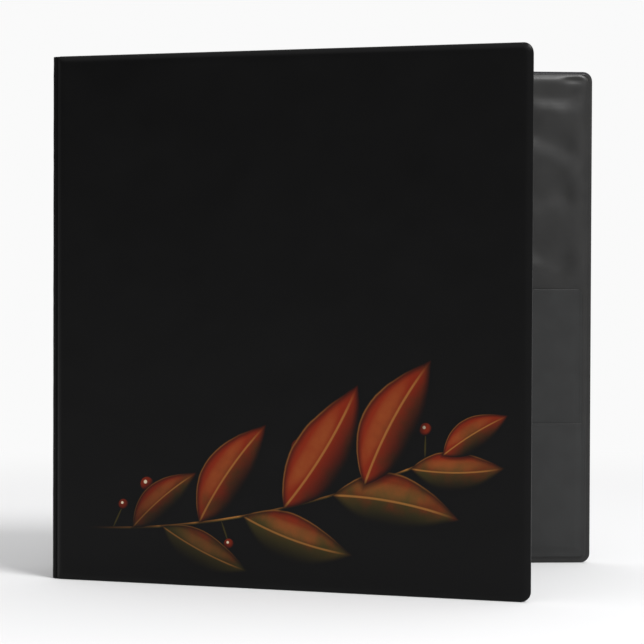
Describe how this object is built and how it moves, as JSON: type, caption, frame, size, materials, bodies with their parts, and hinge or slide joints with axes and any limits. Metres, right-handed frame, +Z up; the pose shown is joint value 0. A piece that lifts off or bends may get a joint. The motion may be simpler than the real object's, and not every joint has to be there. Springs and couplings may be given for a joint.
{
  "type": "ring binder",
  "caption": "Vinyl-covered ring binder standing ajar, with hinged covers round a spine, inside pockets and a lever-opened ring mechanism riveted to the back cover",
  "frame": {"origin": "middle of the back cover's bottom edge, half way through the flat of the edge", "axes": "+X runs along the back cover from its hinge to its free edge, +Y is the way its outside faces, +Z is up the cover"},
  "size_m": [0.3186, 0.1761, 0.295],
  "materials": {
    "outer_vinyl": "satin",
    "liner_vinyl": "satin",
    "pocket_vinyl": "satin",
    "grey_board": "matt",
    "plated_steel": "bright plated"
  },
  "bodies": {
    "back_cover": {"back_outer_wrap": "outer_vinyl", "back_board": "grey_board", "back_liner": "liner_vinyl", "back_upper_pocket": "pocket_vinyl", "back_lower_pocket": "pocket_vinyl", "back_hinge_web": "outer_vinyl", "ring_housing": "plated_steel", "top_lever_pin": "plated_steel", "bottom_lever_pin": "plated_steel", "upper_rivet": "plated_steel", "lower_rivet": "plated_steel"},
    "spine": {"spine_outer_wrap": "outer_vinyl", "spine_board": "grey_board", "spine_liner": "liner_vinyl", "front_hinge_web": "outer_vinyl"},
    "front_cover": {"front_outer_wrap": "outer_vinyl", "front_board": "grey_board", "front_liner": "liner_vinyl", "front_upper_pocket": "pocket_vinyl", "front_lower_pocket": "pocket_vinyl"},
    "curved_ring_side": {"hinge_side_blade": "plated_steel", "upper_ring_curved_half": "plated_steel", "middle_ring_curved_half": "plated_steel", "lower_ring_curved_half": "plated_steel"},
    "post_ring_side": {"page_side_blade": "plated_steel", "upper_ring_post_half": "plated_steel", "middle_ring_post_half": "plated_steel", "lower_ring_post_half": "plated_steel"},
    "top_lever": {"top_lever": "plated_steel"},
    "bottom_lever": {"bottom_lever": "plated_steel"}
  },
  "joints": [
    {"name": "back_hinge", "type": "hinge", "parent": "back_cover", "child": "spine", "pos_m": [-0.1425, 0, 0.1475], "axis": [0, 0, -1], "range_deg": [-23, 147], "deforming": ["back_hinge_web"]},
    {"name": "front_hinge", "type": "hinge", "parent": "spine", "child": "front_cover", "pos_m": [-0.1828, -0.06206, 0.1475], "axis": [0, 0, -1], "range_deg": [0, 190], "deforming": ["front_hinge_web"]},
    {"name": "ring_opening", "type": "hinge", "parent": "back_cover", "child": "curved_ring_side", "pos_m": [-0.1117, -0.00453, 0.1475], "axis": [0, 0, -1], "range_deg": [0, 13]},
    {"name": "post_opening", "type": "hinge", "parent": "back_cover", "child": "post_ring_side", "pos_m": [-0.0853, -0.00453, 0.1475], "axis": [0, 0, 1], "range_deg": [0, 13]},
    {"name": "top_lever_turn", "type": "hinge", "parent": "back_cover", "child": "top_lever", "pos_m": [-0.0985, -0.00413, 0.2695], "axis": [-1, 0, 0], "range_deg": [0, 30]},
    {"name": "bottom_lever_turn", "type": "hinge", "parent": "back_cover", "child": "bottom_lever", "pos_m": [-0.0985, -0.00413, 0.0255], "axis": [1, 0, 0], "range_deg": [0, 30]}
  ],
  "couplings": [
    {"joint": "post_opening", "follows": "ring_opening", "ratio": 1},
    {"joint": "top_lever_turn", "follows": "ring_opening", "ratio": 2.3},
    {"joint": "bottom_lever_turn", "follows": "ring_opening", "ratio": 2.3}
  ]
}
